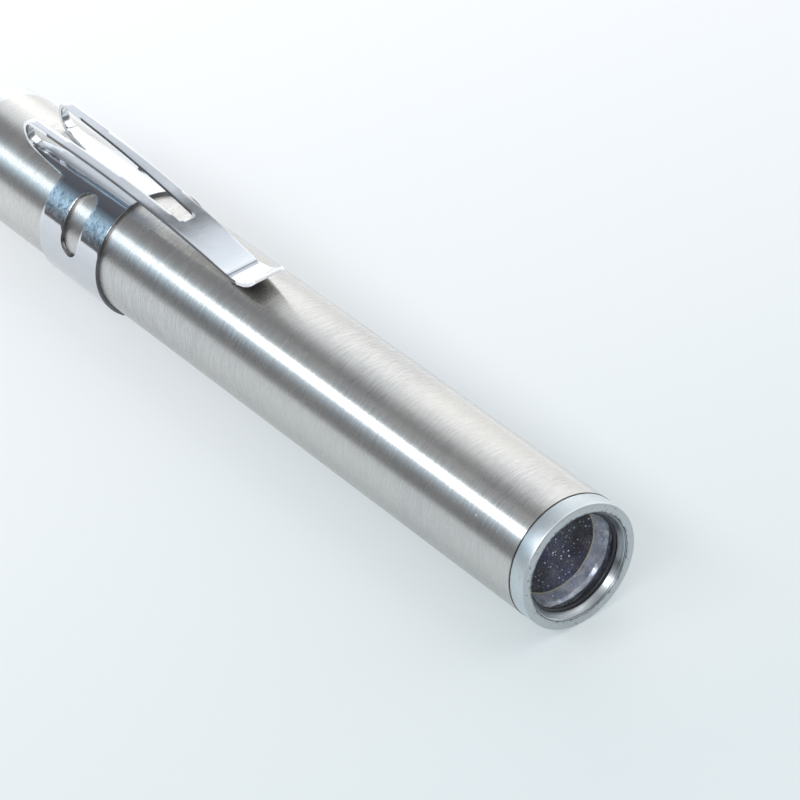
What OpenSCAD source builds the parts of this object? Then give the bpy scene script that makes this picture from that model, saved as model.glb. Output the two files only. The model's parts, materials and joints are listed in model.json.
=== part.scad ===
// A stainless penlight for one slim cell, with a clamped spring pocket clip and a push switch at the tail.
// The axis runs along X with the lens toward +X. The light lies on its barrel with the clip on top (+Z).
// The origin is the middle of the whole part's box, at the surface that the barrel lies on.

/* [Barrel] */
// Outside diameter of the steel tube
tube_d = 13.5; // [12.8:0.1:15]
// Length of the steel tube between its two seams
tube_len = 95.1; // [92:0.1:120]
// Wall of the tube round the cell
tube_wall = 1.3; // [1:0.05:1.6]
// Wall left at the counterbored ends of the tube
end_wall = 0.6; // [0.4:0.05:0.7]
// Play between the cell and its bore, on the radius
cell_play = 0.2; // [0.1:0.05:0.3]

/* [Bezel and lens] */
// Width of the bezel band that shows ahead of the tube
bezel_w = 2.1; // [1.5:0.1:4]
// Drop from the tube's surface to the bezel's, on the radius
bezel_step = 0.05; // [0.02:0.01:0.3]
// Width of the bezel's flat front face
face_w = 1.02; // [0.6:0.02:1.4]
// Narrowing of the bore from the face to the lip
lip_taper = 0.44; // [0.1:0.02:0.6]
// Depth of the lip, from the face to the sealing ring
lip_depth = 0.9; // [0.6:0.05:1.6]
// Depth of the spigot that goes into the tube
spigot_len = 6; // [3:0.5:7]
// Wall of the spigot round the lens
spigot_wall = 0.58; // [0.4:0.02:0.8]
// Cord thickness of the sealing ring before the lens
lens_ring_cord = 0.54; // [0.4:0.02:0.8]
// Thickness of the glass lens
lens_t = 1.2; // [0.8:0.1:2]

/* [Reflector and emitter] */
// Depth of the reflector, front to back
reflector_depth = 7.2; // [6.5:0.1:9]
// Width of the reflector's flat rim
reflector_rim = 0.45; // [0.2:0.05:0.8]
// Thickness of the centring gasket round the emitter
gasket_t = 0.9; // [0.8:0.05:1.2]
// Side of the square emitter package, as a share of the tube's diameter
emitter_share = 0.222; // [0.18:0.005:0.24]
// Thickness of the emitter package
emitter_t = 0.7; // [0.5:0.05:0.8]
// Ledge of the package round the clear dome
dome_ledge = 0.25; // [0.2:0.05:0.5]
// Thickness of the metal board under the emitter
emitter_board_t = 1.2; // [0.8:0.1:2]

/* [Heat sink and driver] */
// Length of the brass heat sink cup
sink_len = 12; // [11:0.5:14]
// Thickness of the shelf that closes the cup's front
shelf_t = 2.2; // [1.2:0.1:3]
// Thickness of the driver's circuit board
driver_board_t = 1; // [0.8:0.1:1.6]
// Thickness of the ring that holds the driver in the cup
driver_ring_t = 1.3; // [0.8:0.1:1.8]
// Height of the sprung contact from the board to the cell
contact_len = 4.3; // [3.6:0.1:6]

/* [Cell] */
// Pressed length of the spring behind the cell; the cell fills the rest of the tube
tail_spring_len = 8.6; // [7.8:0.1:11]
// Thickness of the film that wraps the cell
wrap_t = 0.12; // [0.08:0.01:0.2]

/* [Tail cap] */
// Width of the ring that shows behind the tube
cap_ring_w = 2.4; // [1.6:0.1:5]
// Length of the skirt that goes into the tube
skirt_len = 19.2; // [18.6:0.1:20]
// Pitch of the cap's thread
thread_pitch = 1; // [0.8:0.05:1.1]
// Turns of thread that engage
thread_turns = 5; // [3:1:5]
// Depth of the thread
thread_depth = 0.45; // [0.25:0.05:0.5]
// Cord thickness of the cap's sealing ring
cap_ring_cord = 0.9; // [0.7:0.05:1]

/* [Switch and button] */
// Width of the shoulder that keeps the button in the cap
button_shoulder_w = 0.55; // [0.4:0.05:1.2]
// Height that the button stands out of the cap
button_proud = 1.8; // [1.6:0.1:3]
// Travel of the button
button_travel = 1.5; // [1:0.1:1.5]
// Length of the switch housing
switch_len = 9; // [8.6:0.1:9.4]
// Thickness of the switch's circuit board
switch_board_t = 1; // [0.8:0.1:1.4]
// Thickness of the ring that holds the switch in the cap
switch_ring_t = 1.5; // [1:0.1:2]

/* [Pocket clip] */
// Thickness of the clip's sheet
clip_t = 0.4; // [0.3:0.05:0.6]
// Distance from the tube's tail seam to the band
band_from_tail = 16.2; // [13:0.1:30]
// Width of the strap at the band's front
front_strap_w = 3.6; // [2.4:0.1:5]
// Width of the windows in the band's sides
window_w = 3; // [1.6:0.1:4]
// Width of the strap at the band's rear
rear_strap_w = 3.9; // [2.4:0.1:5]
// Distance from the band's rear edge to the end of the loops
loop_reach = 7.8; // [6:0.1:10]
// Height of the arm's top above the tube
arm_height = 3.1; // [2.6:0.1:5]
// Distance from the end of the loops to the crease by the tip
arm_len = 35.9; // [28:0.1:45]
// Width across the two legs at the loops
arm_rear_w = 5.4; // [4.6:0.1:7]
// Width of the arm at the crease
arm_tip_w = 3.7; // [3:0.1:5]
// Width of the slot between the legs at the loops
slot_rear_w = 3.6; // [2:0.1:4]
// Width of the slot at its front end
slot_front_w = 1.7; // [1:0.1:2.2]
// Distance from the slot's front end to the crease
slot_to_crease = 9.3; // [6:0.1:14]
// Length of the turned up lip
lip_len = 4.7; // [3:0.1:6]
// Radius that the lip is curled to
lip_curl_r = 7; // [5.5:0.5:12]

/* [Hidden] */

// Smoothness of round faces
round_fn = 96;
// Overrun of a cut past the face that it opens
cut = 0.5;
// Gap between pieces that are pressed or glued together
seat_gap = 0.02;
// Radial clearance of a piece that slides or turns in its bore
run_gap = 0.05;
// Small chamfer on turned edges
edge = 0.25;

// Radii of the barrel
tube_r = tube_d / 2;
end_bore_r = tube_r - end_wall;
cell_bore_r = tube_r - tube_wall;
cell_r = cell_bore_r - cell_play;

// Radii of the head
bezel_r = tube_r - bezel_step;
face_bore_r = bezel_r - face_w;
lip_bore_r = face_bore_r - lip_taper;
spigot_r = end_bore_r - seat_gap;
lens_pocket_r = spigot_r - spigot_wall;
lens_r = lens_pocket_r - seat_gap;
lens_edge = 0.15;

// Stations of the head, as distances behind the front face
lens_s = lip_depth + lens_ring_cord + 2 * seat_gap;
reflector_s = lens_s + lens_t + seat_gap;
gasket_s = reflector_s + reflector_depth;
emitter_board_s = gasket_s + gasket_t + seat_gap;
emitter_s = emitter_board_s - emitter_t;
sink_s = emitter_board_s + emitter_board_t + seat_gap;
sink_end_s = sink_s + sink_len;

// Driver
driver_ring_inset = 0.6;
driver_ring_s = sink_end_s - driver_ring_inset - driver_ring_t;
driver_board_s = driver_ring_s - seat_gap - driver_board_t;
driver_seat_w = 0.7;
sink_wall = 0.85;
driver_r = spigot_r - sink_wall;
driver_ring_w = 1.6;

// Stations of the tail
tube_end_s = bezel_w + tube_len;
skirt_s = tube_end_s - skirt_len;
cap_end_s = tube_end_s + cap_ring_w;
overall_len = cap_end_s + button_proud;
bore_relief = 0.5;
switch_ring_s = skirt_s;
switch_board_s = switch_ring_s + switch_ring_t + seat_gap;
switch_s = switch_board_s + switch_board_t + seat_gap;
switch_end_s = switch_s + switch_len;

// Stations of the cell
cell_s = driver_board_s + driver_board_t + contact_len;
cell_end_s = switch_board_s - tail_spring_len;

// Radii of the tail cap
cap_skirt_r = end_bore_r - run_gap;
thread_root_r = cap_skirt_r - thread_depth;
skirt_wall = 0.4;
skirt_bore_r = thread_root_r - skirt_wall;
cap_ledge_w = 0.5;
button_room_r = skirt_bore_r - cap_ledge_w;
button_r = button_room_r - button_shoulder_w;
button_bore_r = button_r + run_gap;
cap_web = 1.7;
switch_r = skirt_bore_r - seat_gap;
switch_ring_w = 1;

// Moves every piece from the working frame, with its face at zero, to the part's own frame
module placed() translate([overall_len / 2, 0, tube_r]) children();

// A round piece turned from points given as [radius, distance behind the front face]
module turned(points)
    rotate([0, -90, 0])
        rotate_extrude($fn = round_fn)
            polygon(points);

// A plain round ring between two stations
module ring_piece(r_out, r_in, s_a, s_b)
    turned([[r_in, s_a], [r_out, s_a], [r_out, s_b], [r_in, s_b]]);

// A plain disc with chamfered rims
module disc_piece(r, s_a, s_b, rim = 0)
    turned([[0, s_a], [r - rim, s_a], [r, s_a + rim], [r, s_b - rim], [r - rim, s_b], [0, s_b]]);

// A sealing ring of round cord
module cord_ring(r_out, cord, s_mid)
    translate([-s_mid, 0, 0])
        rotate([0, 90, 0])
            rotate_extrude($fn = round_fn)
                translate([r_out - cord / 2, 0])
                    circle(d = cord, $fn = 32);

// A block that lies flat on a plane square to the axis, with its front face at station s_a
module chip(w_y, w_z, t, s_a, y, z)
    translate([-s_a - t, y - w_y / 2, z - w_z / 2])
        cube([t, w_y, w_z]);

// Points of a round corner or arc, from angle a_a to a_b about a centre
function arc(c_r, c_s, r, a_a, a_b, steps = 6) =
    [for (i = [0:steps]) let (a = a_a + (a_b - a_a) * i / steps) [c_r + r * cos(a), c_s + r * sin(a)]];

// Coil springs: one unbroken tube of six sides with eight rings a turn
coil_rings = 8;
coil_sides = 6;
function coil_centre(i, n, r_a, r_b, s_a, s_b) =
    let (k = i / n, a = 360 * i / coil_rings, r = r_a + (r_b - r_a) * k)
        [-(s_a + (s_b - s_a) * k), r * cos(a), r * sin(a)];
function unit(v) = v / norm(v);
function coil_points(n, r_a, r_b, wire, s_a, s_b) = [
    for (i = [0:n])
        let (
            c = coil_centre(i, n, r_a, r_b, s_a, s_b),
            along = unit(coil_centre(i + 1, n, r_a, r_b, s_a, s_b) - coil_centre(i - 1, n, r_a, r_b, s_a, s_b)),
            out = unit([0, c[1], c[2]]),
            side = unit(cross(along, out)),
            up = cross(side, along)
        )
            for (j = [0:coil_sides - 1])
                let (b = 360 * j / coil_sides) c + (up * cos(b) + side * sin(b)) * wire / 2
];
// Triangles of a tube of n steps whose rings have m points each, with both ends closed
function tube_faces(n, m) = concat(
    [for (i = [0:n - 1], j = [0:m - 1]) let (k = (j + 1) % m) [i * m + j, (i + 1) * m + j, i * m + k]],
    [for (i = [0:n - 1], j = [0:m - 1]) let (k = (j + 1) % m) [i * m + k, (i + 1) * m + j, (i + 1) * m + k]],
    [for (j = [1:m - 2]) [0, j, j + 1]],
    [for (j = [1:m - 2]) [n * m, n * m + j + 1, n * m + j]]
);
// Least gap between one turn of a coil and the rest of it
function coil_gap(n, r_a, r_b, wire, s_a, s_b) = min([
    for (i = [0:n], j = [i + coil_rings - 2:1:min(n, i + coil_rings + 2)])
        norm(coil_centre(i, n, r_a, r_b, s_a, s_b) - coil_centre(j, n, r_a, r_b, s_a, s_b)) - wire
]);
module coil(label, turns, r_a, r_b, wire, s_a, s_b) {
    n = round(turns * coil_rings);
    echo(str(label, " least gap to itself in mm: ", coil_gap(n, r_a, r_b, wire, s_a + wire / 2, s_b - wire / 2)));
    polyhedron(coil_points(n, r_a, r_b, wire, s_a + wire / 2, s_b - wire / 2), tube_faces(n, coil_sides));
}

// Barrel
seam_edge = 0.08;
module barrel_tube() placed() color([0.75, 0.74, 0.72])
    turned([
        [end_bore_r, bezel_w], [tube_r - seam_edge, bezel_w], [tube_r, bezel_w + seam_edge],
        [tube_r, tube_end_s - seam_edge], [tube_r - seam_edge, tube_end_s], [end_bore_r, tube_end_s],
        [end_bore_r, skirt_s - bore_relief], [cell_bore_r, skirt_s - bore_relief],
        [cell_bore_r, sink_end_s + seat_gap], [end_bore_r, sink_end_s + seat_gap]
    ]);

// Bezel with its lip and the spigot that is pressed into the tube
bore_land = 0.2;
bore_step = 0.07;
module bezel() placed() color([0.72, 0.76, 0.8])
    turned(concat(
        [[face_bore_r, 0]],
        arc(bezel_r - edge, edge, edge, -90, 0),
        [
            [bezel_r, bezel_w], [spigot_r, bezel_w], [spigot_r, bezel_w + spigot_len],
            [lens_pocket_r, bezel_w + spigot_len], [lens_pocket_r, lip_depth], [lip_bore_r, lip_depth],
            [face_bore_r - bore_step, bore_land], [face_bore_r, bore_land]
        ]
    ));

module lens_ring() placed() color([0.07, 0.08, 0.11])
    cord_ring(lens_r, lens_ring_cord, lip_depth + seat_gap + lens_ring_cord / 2);

module lens() placed() color([0.8, 0.87, 0.95, 0.4])
    disc_piece(lens_r, lens_s, lens_s + lens_t, lens_edge);

// Reflector: a parabola of revolution with its focus close to the emitter's face
emitter_w = tube_d * emitter_share;
dome_r = emitter_w / 2 - dome_ledge;
reflector_steps = 16;
reflector_flange_t = 1;
reflector_back_r = 3.6;
reflector_taper = 3;
hole_play = 0.45;
module reflector() placed() color([0.82, 0.84, 0.88]) {
    hole_r = dome_r + hole_play;
    mouth_r = lens_r - reflector_rim;
    waist_r = (lens_r + mouth_r) / 2;
    shape = reflector_depth / (pow(mouth_r, 2) - pow(hole_r, 2));
    bowl = [
        for (i = [0:reflector_steps])
            let (r = hole_r + (mouth_r - hole_r) * i / reflector_steps)
                [r, gasket_s - shape * (pow(r, 2) - pow(hole_r, 2))]
    ];
    turned(concat(bowl, [
        [lens_r, reflector_s], [lens_r, reflector_s + reflector_flange_t],
        [waist_r, reflector_s + reflector_flange_t], [waist_r, gasket_s - reflector_taper],
        [reflector_back_r, gasket_s]
    ]));
}

// Emitter with its gasket, package, phosphor, dome and board
gasket_play = 0.1;
gasket_wall = 0.4;
gasket_hole_r = emitter_w / sqrt(2) + gasket_play;
phosphor_share = 0.5;
phosphor_t = 0.12;
module emitter_gasket() placed() color([0.93, 0.93, 0.9])
    ring_piece(gasket_hole_r + gasket_wall, gasket_hole_r, gasket_s, gasket_s + gasket_t);

module emitter_base() placed() color([0.9, 0.88, 0.82])
    chip(emitter_w, emitter_w, emitter_t, emitter_s, 0, 0);

module emitter_phosphor() placed() color([0.95, 0.8, 0.2])
    chip(emitter_w * phosphor_share, emitter_w * phosphor_share, phosphor_t, emitter_s - phosphor_t, 0, 0);

module emitter_dome() placed() color([0.9, 0.9, 0.85, 0.5])
    difference() {
        translate([-emitter_s, 0, 0])
            sphere(dome_r, $fn = 48);
        translate([-emitter_s - 2 * dome_r, -dome_r - cut, -dome_r - cut])
            cube([2 * dome_r, 2 * (dome_r + cut), 2 * (dome_r + cut)]);
        chip(
            emitter_w * phosphor_share + 2 * seat_gap, emitter_w * phosphor_share + 2 * seat_gap,
            phosphor_t + seat_gap, emitter_s - phosphor_t - seat_gap, 0, 0
        );
    }

// The two leads pass through the board and the shelf at this distance from the axis
lead_r = 0.3;
lead_play = 0.15;
lead_gap = 0.05;
lead_offset = driver_r - driver_seat_w - lead_r - lead_play - lead_gap;
solder_t = 0.35;
emitter_board_play = 0.33;
emitter_board_r = lens_r - emitter_board_play;
module lead_holes(s_a, s_b)
    for (side = [-1, 1])
        translate([-s_b, side * lead_offset, 0])
            rotate([0, 90, 0])
                cylinder(r = lead_r + lead_play, h = s_b - s_a, $fn = 32);

module emitter_board() placed() color([0.9, 0.9, 0.92])
    difference() {
        disc_piece(emitter_board_r, emitter_board_s, emitter_board_s + emitter_board_t);
        lead_holes(emitter_board_s - cut, emitter_board_s + emitter_board_t + cut);
    }

module emitter_leads() placed()
    for (side = [-1, 1])
        color(side < 0 ? [0.1, 0.1, 0.1] : [0.75, 0.1, 0.08])
            translate([-driver_board_s, side * lead_offset, 0])
                rotate([0, 90, 0]) {
                    cylinder(r = lead_r, h = driver_board_s - emitter_board_s + solder_t, $fn = 32);
                    translate([0, 0, driver_board_s - emitter_board_s])
                        cylinder(r1 = 2 * lead_r, r2 = lead_r, h = solder_t, $fn = 32);
                }

// Heat sink cup with the driver inside it
module heat_sink() placed() color([0.8, 0.62, 0.3])
    difference() {
        turned([
            [0, sink_s], [spigot_r, sink_s], [spigot_r, sink_end_s], [driver_r, sink_end_s],
            [driver_r, driver_board_s], [driver_r - driver_seat_w, driver_board_s],
            [driver_r - driver_seat_w, sink_s + shelf_t], [0, sink_s + shelf_t]
        ]);
        lead_holes(sink_s - cut, sink_s + shelf_t + cut);
    }

module driver_board() placed() color([0.1, 0.35, 0.2])
    disc_piece(driver_r - seat_gap, driver_board_s, driver_board_s + driver_board_t);

// Parts on the driver's front face, each as [width y, width z, height, place y, place z] in shares of its radius
coil_block_shares = [0.64, 0.64, 0.34, -0.11, -0.27];
controller_shares = [0.53, 0.38, 0.17, 0.23, 0.4];
capacitor_shares = [0.23, 0.15, 0.13, -0.36, 0.42];
resistor_shares = [0.15, 0.27, 0.1, 0.4, -0.11];
module driver_parts() placed() color([0.15, 0.15, 0.17])
    for (shares = [coil_block_shares, controller_shares, capacitor_shares, resistor_shares])
        let (p = shares * driver_r)
            chip(p[0], p[1], p[2], driver_board_s - p[2], p[3], p[4]);

// A threaded ring with two spanner slots in its rear or front face
spanner_w = 1.2;
spanner_depth_share = 0.5;
module slotted_ring(r_out, r_in, s_a, s_b, slots_s)
    difference() {
        ring_piece(r_out, r_in, s_a, s_b);
        translate([-slots_s - (s_b - s_a) * spanner_depth_share, -spanner_w / 2, -r_out - cut])
            cube([2 * (s_b - s_a) * spanner_depth_share, spanner_w, 2 * (r_out + cut)]);
    }

module driver_ring() placed() color([0.85, 0.68, 0.35])
    slotted_ring(
        driver_r - seat_gap, driver_r - driver_ring_w, driver_ring_s, driver_ring_s + driver_ring_t,
        driver_ring_s + driver_ring_t
    );

contact_wire = 0.5;
contact_ring_gap = 1.03;
contact_base_r = driver_r - driver_ring_w - contact_ring_gap - contact_wire / 2;
contact_tip_r = 1.2;
contact_turns = 3;
module front_contact() placed() color([0.85, 0.7, 0.35])
    coil(
        "front_contact", contact_turns, contact_base_r, contact_tip_r, contact_wire,
        driver_board_s + driver_board_t, cell_s
    );

// Cell: can, core, base plate, nub plate, insulating washer and wrap
nub_share = 0.36;
nub_r = cell_r * nub_share;
nub_len = 1;
nub_flange_share = 0.57;
nub_flange_r = cell_r * nub_flange_share;
nub_flange_t = 0.3;
wrap_lip = 0.9;
washer_t = 0.25;
can_wall = 0.3;
can_edge = 0.3;
can_rim = 0.15;
base_t = 0.5;
base_boss_share = 0.69;
base_boss_r = cell_r * base_boss_share;
base_boss_t = 0.25;
can_r = cell_r - wrap_t - seat_gap;
can_s = cell_s + nub_len + nub_flange_t;
can_end_s = cell_end_s - base_boss_t;
module cell_can() placed() color([0.7, 0.7, 0.72])
    turned([
        [0, can_s], [can_r - can_edge, can_s], [can_r, can_s + can_edge], [can_r, can_end_s - can_rim],
        [can_r - can_rim, can_end_s], [can_r - can_wall, can_end_s],
        [can_r - can_wall, can_s + can_wall + can_edge], [can_r - can_wall - can_edge, can_s + can_wall],
        [0, can_s + can_wall]
    ]);

module cell_core() placed() color([0.16, 0.16, 0.17])
    turned([
        [0, can_s + can_wall + seat_gap], [can_r - can_wall - can_edge - seat_gap, can_s + can_wall + seat_gap],
        [can_r - can_wall - seat_gap, can_s + can_wall + can_edge + seat_gap],
        [can_r - can_wall - seat_gap, can_end_s - base_t - seat_gap], [0, can_end_s - base_t - seat_gap]
    ]);

module cell_base() placed() color([0.75, 0.75, 0.77])
    turned([
        [0, can_end_s - base_t], [can_r - can_wall - seat_gap, can_end_s - base_t],
        [can_r - can_wall - seat_gap, can_end_s], [base_boss_r, can_end_s], [base_boss_r, cell_end_s],
        [0, cell_end_s]
    ]);

module cell_nub() placed() color([0.8, 0.8, 0.82])
    turned([
        [0, cell_s], [nub_r - edge, cell_s], [nub_r, cell_s + edge], [nub_r, cell_s + nub_len],
        [nub_flange_r, cell_s + nub_len], [nub_flange_r, can_s], [0, can_s]
    ]);

module cell_washer() placed() color([0.9, 0.9, 0.88])
    ring_piece(cell_r - wrap_lip - seat_gap, nub_flange_r + seat_gap, can_s - washer_t, can_s);

module cell_wrap() placed() color([0.2, 0.35, 0.5]) {
    lip_r = cell_r - wrap_lip;
    in_r = cell_r - wrap_t;
    turned([
        [lip_r, can_s - seat_gap - wrap_t], [cell_r - can_edge, can_s - seat_gap - wrap_t],
        [cell_r, can_s + can_edge - seat_gap], [cell_r, can_end_s - can_rim + seat_gap],
        [cell_r - can_rim, can_end_s + seat_gap + wrap_t], [lip_r, can_end_s + seat_gap + wrap_t],
        [lip_r, can_end_s + seat_gap], [in_r - can_rim, can_end_s + seat_gap], [in_r, can_end_s - can_rim + seat_gap],
        [in_r, can_s + can_edge - seat_gap], [in_r - can_edge, can_s - seat_gap], [lip_r, can_s - seat_gap]
    ]);
}

// Spring between the cell and the switch board
tail_wire = 0.7;
tail_ring_gap = 0.68;
tail_taper = 0.6;
tail_base_r = switch_r - switch_ring_w - tail_ring_gap - tail_wire / 2;
tail_tip_r = tail_base_r - tail_taper;
tail_turns = 5;
module tail_spring() placed() color([0.8, 0.8, 0.82])
    coil("tail_spring", tail_turns, tail_tip_r, tail_base_r, tail_wire, cell_end_s, switch_board_s);

// Tail cap: skirt, thread, groove for the seal and the ring that shows
groove_play = 0.1;
groove_from_end = 1.2;
thread_relief = 0.8;
thread_root_sink = 0.05;
thread_foot_share = 0.8;
thread_crest_share = 0.2;
thread_rings = 24;
groove_end_s = tube_end_s - groove_from_end;
groove_s = groove_end_s - cap_ring_cord - 2 * groove_play;
groove_r = end_bore_r - run_gap - cap_ring_cord - seat_gap;
thread_end_s = groove_s - thread_relief;

// One cross-section of the right-hand thread, as radius and offset along the axis, rising over a quarter turn
function thread_ring(i, n) =
    let (
        rise = min(1, 4 * i / thread_rings, 4 * (n - i) / thread_rings),
        crest = thread_root_r + max(thread_root_sink, (cap_skirt_r - thread_root_r) * rise),
        foot = thread_root_r - thread_root_sink
    )
        [
            [foot, -thread_pitch * thread_foot_share / 2], [crest, -thread_pitch * thread_crest_share / 2],
            [crest, thread_pitch * thread_crest_share / 2], [foot, thread_pitch * thread_foot_share / 2]
        ];
module cap_thread() {
    n = thread_rings * (thread_turns - 1);
    points = [
        for (i = [0:n])
            let (a = 360 * i / thread_rings, s = thread_end_s - thread_pitch * (1 / 2 + i / thread_rings))
                for (p = thread_ring(i, n))
                    [-(s + p[1]), p[0] * cos(a), p[0] * sin(a)]
    ];
    polyhedron(points, tube_faces(n, 4));
}

module tail_cap() placed() color([0.72, 0.76, 0.8]) {
    turned(concat(
        [
            [skirt_bore_r, skirt_s], [thread_root_r - edge, skirt_s], [thread_root_r, skirt_s + edge],
            [thread_root_r, thread_end_s], [cap_skirt_r, thread_end_s],
            [cap_skirt_r, groove_s], [groove_r, groove_s], [groove_r, groove_end_s], [cap_skirt_r, groove_end_s],
            [cap_skirt_r, tube_end_s], [bezel_r, tube_end_s]
        ],
        arc(bezel_r - edge, cap_end_s - edge, edge, 0, 90),
        [
            [button_bore_r, cap_end_s], [button_bore_r, cap_end_s - cap_web],
            [button_room_r, cap_end_s - cap_web], [button_room_r, switch_end_s + seat_gap],
            [skirt_bore_r, switch_end_s + seat_gap]
        ]
    ));
    cap_thread();
}

module cap_seal() placed() color([0.08, 0.08, 0.09])
    cord_ring(end_bore_r - run_gap, cap_ring_cord, (groove_s + groove_end_s) / 2);

// Switch: ring, board, housing, contacts, plunger and return spring
module switch_ring() placed() color([0.85, 0.68, 0.35])
    slotted_ring(switch_r, switch_r - switch_ring_w, switch_ring_s, switch_ring_s + switch_ring_t, switch_ring_s);

module switch_board() placed() color([0.1, 0.35, 0.2])
    disc_piece(switch_r, switch_board_s, switch_board_s + switch_board_t);

housing_floor = 0.8;
housing_wall = 1.2;
housing_room_r = 2.9;
plunger_r = 1.4;
plunger_flange_r = 2.6;
plunger_flange_t = 1;
plunger_stem_r = 0.85;
press_margin = 0.1;
contact_r = 1.15;
contact_t = 0.5;
rivet_r = 0.5;
plunger_tip_s = switch_end_s + button_travel + press_margin;
plunger_flange_s = switch_end_s - housing_wall - seat_gap - plunger_flange_t;
fixed_contact_s = switch_s + housing_floor;
moving_contact_s = fixed_contact_s + contact_t + button_travel + press_margin;
module switch_housing() placed() color([0.12, 0.12, 0.13])
    turned([
        [rivet_r + seat_gap, switch_s], [switch_r, switch_s], [switch_r, switch_end_s],
        [plunger_r + run_gap, switch_end_s], [plunger_r + run_gap, switch_end_s - housing_wall],
        [housing_room_r, switch_end_s - housing_wall], [housing_room_r, switch_s + housing_floor],
        [rivet_r + seat_gap, switch_s + housing_floor]
    ]);

module switch_contact_fixed() placed() color([0.85, 0.68, 0.35])
    turned([
        [0, switch_s], [rivet_r, switch_s], [rivet_r, fixed_contact_s], [contact_r, fixed_contact_s],
        [contact_r, fixed_contact_s + contact_t], [0, fixed_contact_s + contact_t]
    ]);

module switch_plunger() placed() color([0.9, 0.9, 0.87])
    turned([
        [0, moving_contact_s + contact_t], [plunger_stem_r, moving_contact_s + contact_t],
        [plunger_stem_r, plunger_flange_s], [plunger_flange_r, plunger_flange_s],
        [plunger_flange_r, plunger_flange_s + plunger_flange_t], [plunger_r, plunger_flange_s + plunger_flange_t],
        [plunger_r, plunger_tip_s - edge], [plunger_r - edge, plunger_tip_s], [0, plunger_tip_s]
    ]);

module switch_contact_moving() placed() color([0.85, 0.68, 0.35])
    disc_piece(contact_r, moving_contact_s, moving_contact_s + contact_t);

switch_spring_r = 2.1;
switch_wire = 0.35;
switch_turns = 5;
module switch_spring() placed() color([0.8, 0.8, 0.82])
    coil(
        "switch_spring", switch_turns, switch_spring_r, switch_spring_r, switch_wire,
        switch_s + housing_floor, plunger_flange_s
    );

// Push button with the flange that keeps it in the cap, and its seal
button_stem_r = 1.6;
button_flange_t = 1.7;
button_flange_play = 0.1;
button_cord = 0.8;
button_crown = 0.25;
button_edge = 0.45;
button_stem_s = plunger_tip_s + seat_gap;
button_flange_end_s = cap_end_s - cap_web - seat_gap;
button_flange_s = button_flange_end_s - button_flange_t;
button_seal_s = button_flange_end_s - button_flange_t / 2;
module button() placed() color([0.75, 0.75, 0.76]) {
    flange_r = button_room_r - button_flange_play;
    floor_r = button_room_r - run_gap - button_cord - seat_gap;
    half_groove = button_cord / 2 + seat_gap;
    turned([
        [0, button_stem_s], [button_stem_r, button_stem_s], [button_stem_r, button_flange_s],
        [flange_r, button_flange_s], [flange_r, button_seal_s - half_groove], [floor_r, button_seal_s - half_groove],
        [floor_r, button_seal_s + half_groove], [flange_r, button_seal_s + half_groove],
        [flange_r, button_flange_end_s], [button_r, button_flange_end_s],
        [button_r, overall_len - button_crown - button_edge], [button_r - button_edge, overall_len - button_crown],
        [button_r / 2, overall_len - button_crown / 4], [0, overall_len]
    ]);
}

module button_seal() placed() color([0.08, 0.08, 0.09])
    cord_ring(button_room_r - run_gap, button_cord, button_seal_s);

// Pocket clip. The band is a split ring on the tube; each loop turns back over it into one leg of the arm.
clip_gap = 0.1;
split_gap = 0.15;
window_top_angle = 24;
window_bottom_angle = 84;
band_end_angle = 145;
limb_angle = 26;
limb_slot_inset = 1;
limb_slot_w = slot_rear_w * 0.36;
limb_lap = 0.5;
tip_flare = 0.2;
lip_chamfer = 0.55;
arm_steps = 10;
lip_steps = 8;
band_in_r = tube_r + seat_gap;
band_out_r = band_in_r + clip_t;
band_rear_s = tube_end_s - band_from_tail;
band_front_s = band_rear_s - rear_strap_w - window_w - front_strap_w;
window_s = band_rear_s - rear_strap_w - window_w / 2;
arm_top_z = tube_r + arm_height;
loop_bottom_z = sqrt(pow(band_in_r, 2) - pow(slot_rear_w / 2, 2)) + seat_gap;
loop_r = (arm_top_z - loop_bottom_z) / 2;
loop_z = (arm_top_z + loop_bottom_z) / 2;
loop_end_s = band_rear_s + loop_reach;
loop_s = loop_end_s - loop_r;
crease_s = loop_end_s - arm_len;
crease_z = tube_r + clip_gap + clip_t;
slot_front_s = crease_s + slot_to_crease;

// A prism over an outline seen from above, given as points [station, y], from z = 0 up
module from_above(points)
    linear_extrude(2 * arm_top_z)
        polygon([for (p = points) [-p[0], p[1]]]);

// A prism along the light over an outline seen from its front, given as points [y, z]
module from_front(points, s_a, s_b)
    translate([-s_b, 0, 0])
        rotate([90, 0, 90])
            linear_extrude(s_b - s_a)
                polygon(points);

// Half of the loops' bend, seen from the side: the upper half or the lower half
module half_loop(upper)
    rotate([90, 0, 0])
        linear_extrude(arm_rear_w, center = true)
            intersection() {
                translate([-loop_s, loop_z])
                    difference() {
                        circle(loop_r, $fn = 64);
                        circle(loop_r - clip_t, $fn = 64);
                    }
                translate([-loop_end_s - cut, upper ? loop_z + split_gap / 2 : loop_z - split_gap / 2 - loop_r - cut])
                    square([loop_r + cut, loop_r + cut]);
            }

// The slot between the legs, with a round front end
module leg_slot(front_s, front_w, rear_s, rear_w)
    from_above(concat(
        arc(front_s + front_w / 2, 0, front_w / 2, 90, 270, 12), [[rear_s, -rear_w / 2], [rear_s, rear_w / 2]]
    ));

// One window of the band: a slot with round ends that is cut straight in from the side
module band_window() {
    middle = (window_top_angle + window_bottom_angle) / 2;
    end_y = band_out_r * sin((window_bottom_angle - window_top_angle) / 2) - window_w / 2;
    rotate([-middle, 0, 0])
        linear_extrude(2 * band_out_r)
            polygon(concat(
                arc(-window_s, end_y, window_w / 2, 0, 180, 12),
                arc(-window_s, -end_y, window_w / 2, 180, 360, 12)
            ));
}

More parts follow.
